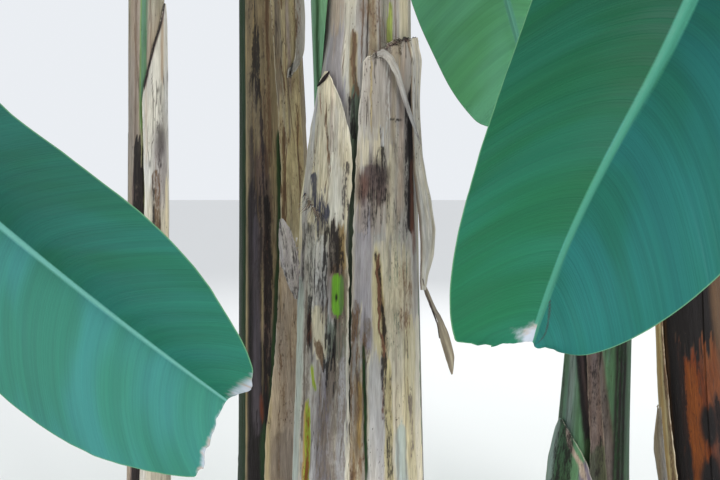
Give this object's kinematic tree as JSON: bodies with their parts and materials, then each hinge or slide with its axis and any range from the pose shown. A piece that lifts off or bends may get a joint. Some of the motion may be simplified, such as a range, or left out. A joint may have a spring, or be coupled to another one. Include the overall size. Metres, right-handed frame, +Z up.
{
  "type": "banana plant",
  "caption": "Banana clump: tapering pseudostems of wrapped leaf sheaths, loose dry sheaths on their sides, and a crown of long arching leaves on top of each.",
  "frame": {"origin": "middle of the main stem's flat foot, at ground level", "axes": "+Z up along the main stem; -Y towards the side the picture was taken from; +X to that viewer's right"},
  "size_m": [3.7095, 3.7553, 4.1758],
  "materials": {
    "stem": "grey-green fibrous sheaths with brown and dark stains, satin to matt",
    "dry_sheath": "dry papery fibre, matt",
    "leaf": "waxy green leaf with a pale midrib, soft sheen"
  },
  "bodies": {
    "root": {"main_stem": "stem", "main_furled_leaf": "leaf", "main_leaf_1": "leaf", "main_leaf_2": "leaf", "main_leaf_2_outer": "leaf", "main_leaf_3": "leaf", "main_leaf_3_outer": "leaf", "main_leaf_4": "leaf", "main_leaf_4_outer": "leaf", "main_leaf_5": "leaf", "main_leaf_6": "leaf", "main_leaf_7": "leaf", "main_leaf_8": "leaf", "main_front_sheath": "dry_sheath", "main_right_sheath": "dry_sheath", "main_loose_sheath": "dry_sheath", "main_left_flap": "dry_sheath", "main_hanging_strip": "dry_sheath", "rear_stem": "stem", "rear_furled_leaf": "leaf", "rear_leaf_1": "leaf", "rear_leaf_1_outer": "leaf", "rear_leaf_2": "leaf", "rear_leaf_2_outer": "leaf", "rear_leaf_3": "leaf", "rear_leaf_4": "leaf", "rear_leaf_5": "leaf", "rear_leaf_6": "leaf", "rear_tan_sheath": "dry_sheath", "slim_stem": "stem", "slim_leaf_1": "leaf", "slim_leaf_2": "leaf", "slim_leaf_3": "leaf", "slim_leaf_4": "leaf", "slim_leaf_5": "leaf", "slim_pale_sheath": "dry_sheath", "right_stem": "stem", "right_furled_leaf": "leaf", "right_leaf_1": "leaf", "right_leaf_1_outer": "leaf", "right_leaf_2": "leaf", "right_leaf_3": "leaf", "right_leaf_4": "leaf", "right_leaf_5": "leaf", "right_brown_sheath": "dry_sheath", "far_right_stem": "stem", "far_right_leaf_1": "leaf", "far_right_leaf_2": "leaf", "far_right_leaf_3": "leaf", "far_right_leaf_4": "leaf", "far_right_leaf_5": "leaf", "far_right_tan_sheath": "dry_sheath", "sucker_stem": "stem", "sucker_leaf_1": "leaf", "sucker_leaf_2": "leaf", "sucker_leaf_3": "leaf", "sucker_leaf_4": "leaf"}
  },
  "joints": []
}
